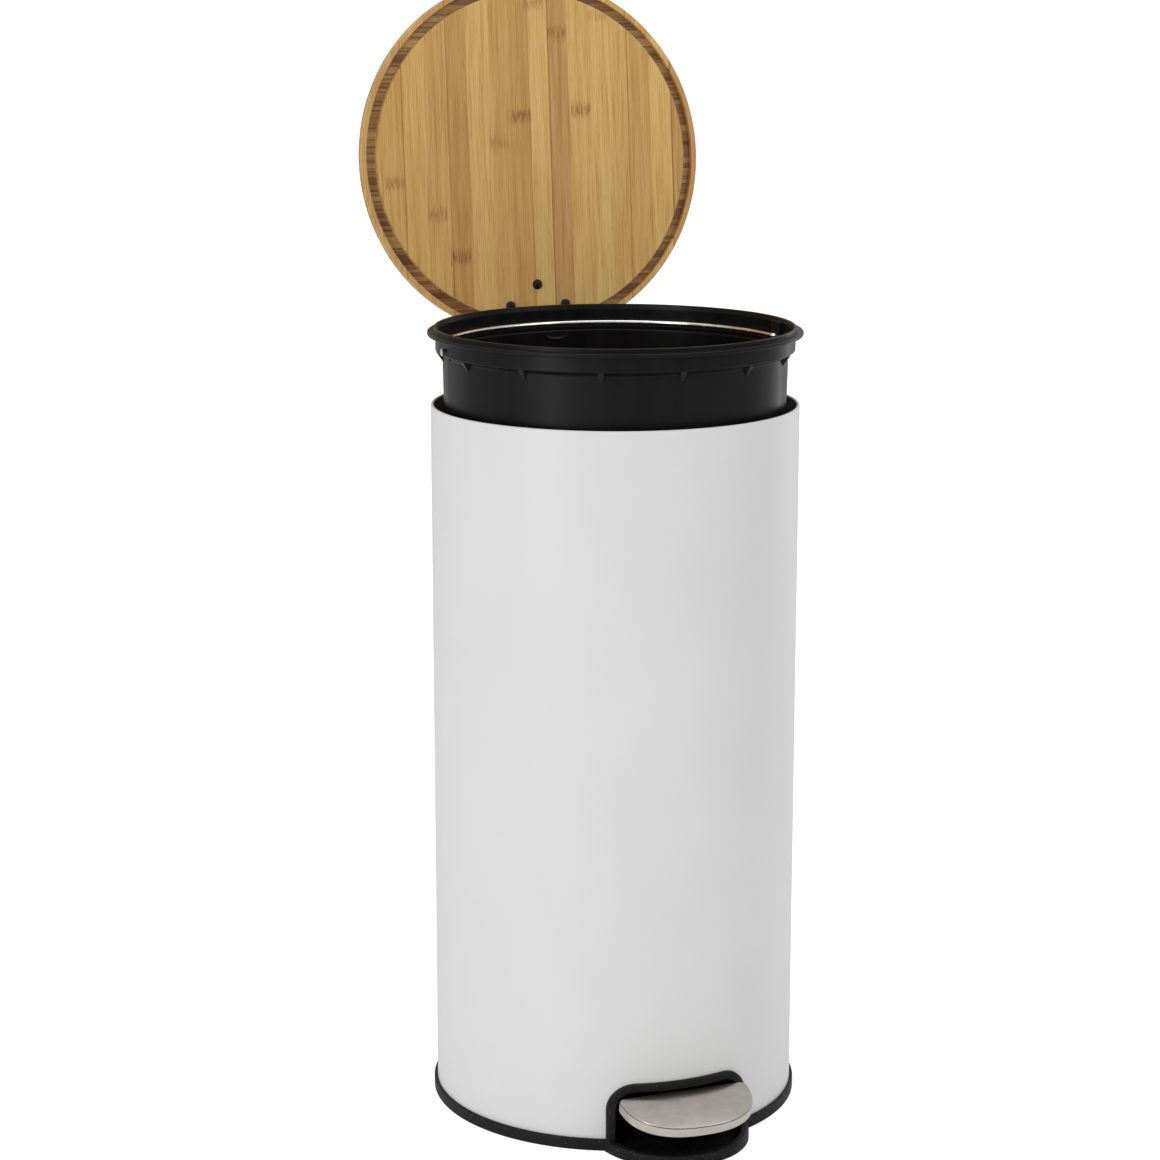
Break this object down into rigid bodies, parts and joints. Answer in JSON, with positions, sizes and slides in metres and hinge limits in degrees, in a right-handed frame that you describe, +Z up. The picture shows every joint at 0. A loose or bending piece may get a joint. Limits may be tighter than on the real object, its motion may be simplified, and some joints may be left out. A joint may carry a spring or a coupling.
{
  "type": "pedal trash can",
  "caption": "Round steel pedal bin with a bamboo lid on a rear hinge, a lift-out plastic bucket with a wire bail, and a foot pedal with its push rod.",
  "frame": {"origin": "on the axis of the round body, on the underside of the base", "axes": "+Z up along the body's axis, +X to the right of someone facing the pedal, pedal at -Y and lid hinge at +Y"},
  "size_m": [0.302, 0.4201, 0.9085],
  "materials": {
    "white_paint": "satin white powder coat",
    "black_plastic": "fine-textured moulded polypropylene",
    "bucket_plastic": "smooth moulded polypropylene",
    "bamboo": "laminated bamboo strips, satin lacquer",
    "pedal_steel": "brushed stainless steel",
    "zinc_steel": "zinc-plated mild steel",
    "bail_steel": "bright plated steel wire",
    "black_screw": "black oxide steel",
    "rubber": "moulded rubber"
  },
  "bodies": {
    "body": {"outer_shell": "white_paint", "base": "black_plastic", "foot_pad_1": "rubber", "foot_pad_2": "rubber", "foot_pad_3": "rubber", "foot_pad_4": "rubber", "pivot_bracket": "zinc_steel", "pivot_pin": "zinc_steel", "pin_clip_1": "zinc_steel", "pin_clip_2": "zinc_steel", "bracket_screw_1": "zinc_steel", "bracket_screw_2": "zinc_steel", "rest_pad": "rubber", "press_pad": "rubber", "rod_guide_lower": "black_plastic", "rod_guide_upper": "black_plastic", "hinge_housing": "black_plastic", "housing_screw_1": "zinc_steel", "housing_screw_2": "zinc_steel", "hinge_pin": "zinc_steel"},
    "pedal": {"pedal_cap": "pedal_steel", "pedal_core": "black_plastic", "pedal_screw_1": "zinc_steel", "pedal_screw_2": "zinc_steel", "pedal_lever": "zinc_steel"},
    "rod": {"push_rod": "zinc_steel", "rod_foot": "black_plastic"},
    "lid": {"lid": "bamboo", "lid_bracket": "black_plastic", "lid_screw_1": "black_screw", "lid_screw_2": "black_screw", "lid_screw_3": "black_screw"},
    "bucket": {"inner_bucket": "bucket_plastic"},
    "bail": {"bail_handle": "bail_steel"}
  },
  "joints": [
    {"name": "lid_hinge", "type": "hinge", "parent": "body", "child": "lid", "pos_m": [0, 0.177, 0.582], "axis": [-1, 0, 0], "range_deg": [-95.2, 0]},
    {"name": "bucket_lift", "type": "slide", "parent": "body", "child": "bucket", "axis": [0, 0, 1], "range_m": [-0.055, 0]},
    {"name": "pedal_pivot", "type": "hinge", "parent": "body", "child": "pedal", "pos_m": [0, -0.028, 0.024], "axis": [1, 0, 0], "range_deg": [0, 5]},
    {"name": "rod_slide", "type": "slide", "parent": "body", "child": "rod", "axis": [0, 0, 1], "range_m": [0, 0.0149]},
    {"name": "bail_swing", "type": "hinge", "parent": "bucket", "child": "bail", "pos_m": [0, 0, 0.6233], "axis": [1, 0, 0], "range_deg": [0, 180]}
  ],
  "couplings": [
    {"joint": "bucket_lift", "follows": "lid_hinge", "m_per_rad": 0.033102},
    {"joint": "rod_slide", "follows": "pedal_pivot", "m_per_rad": 0.1702}
  ]
}
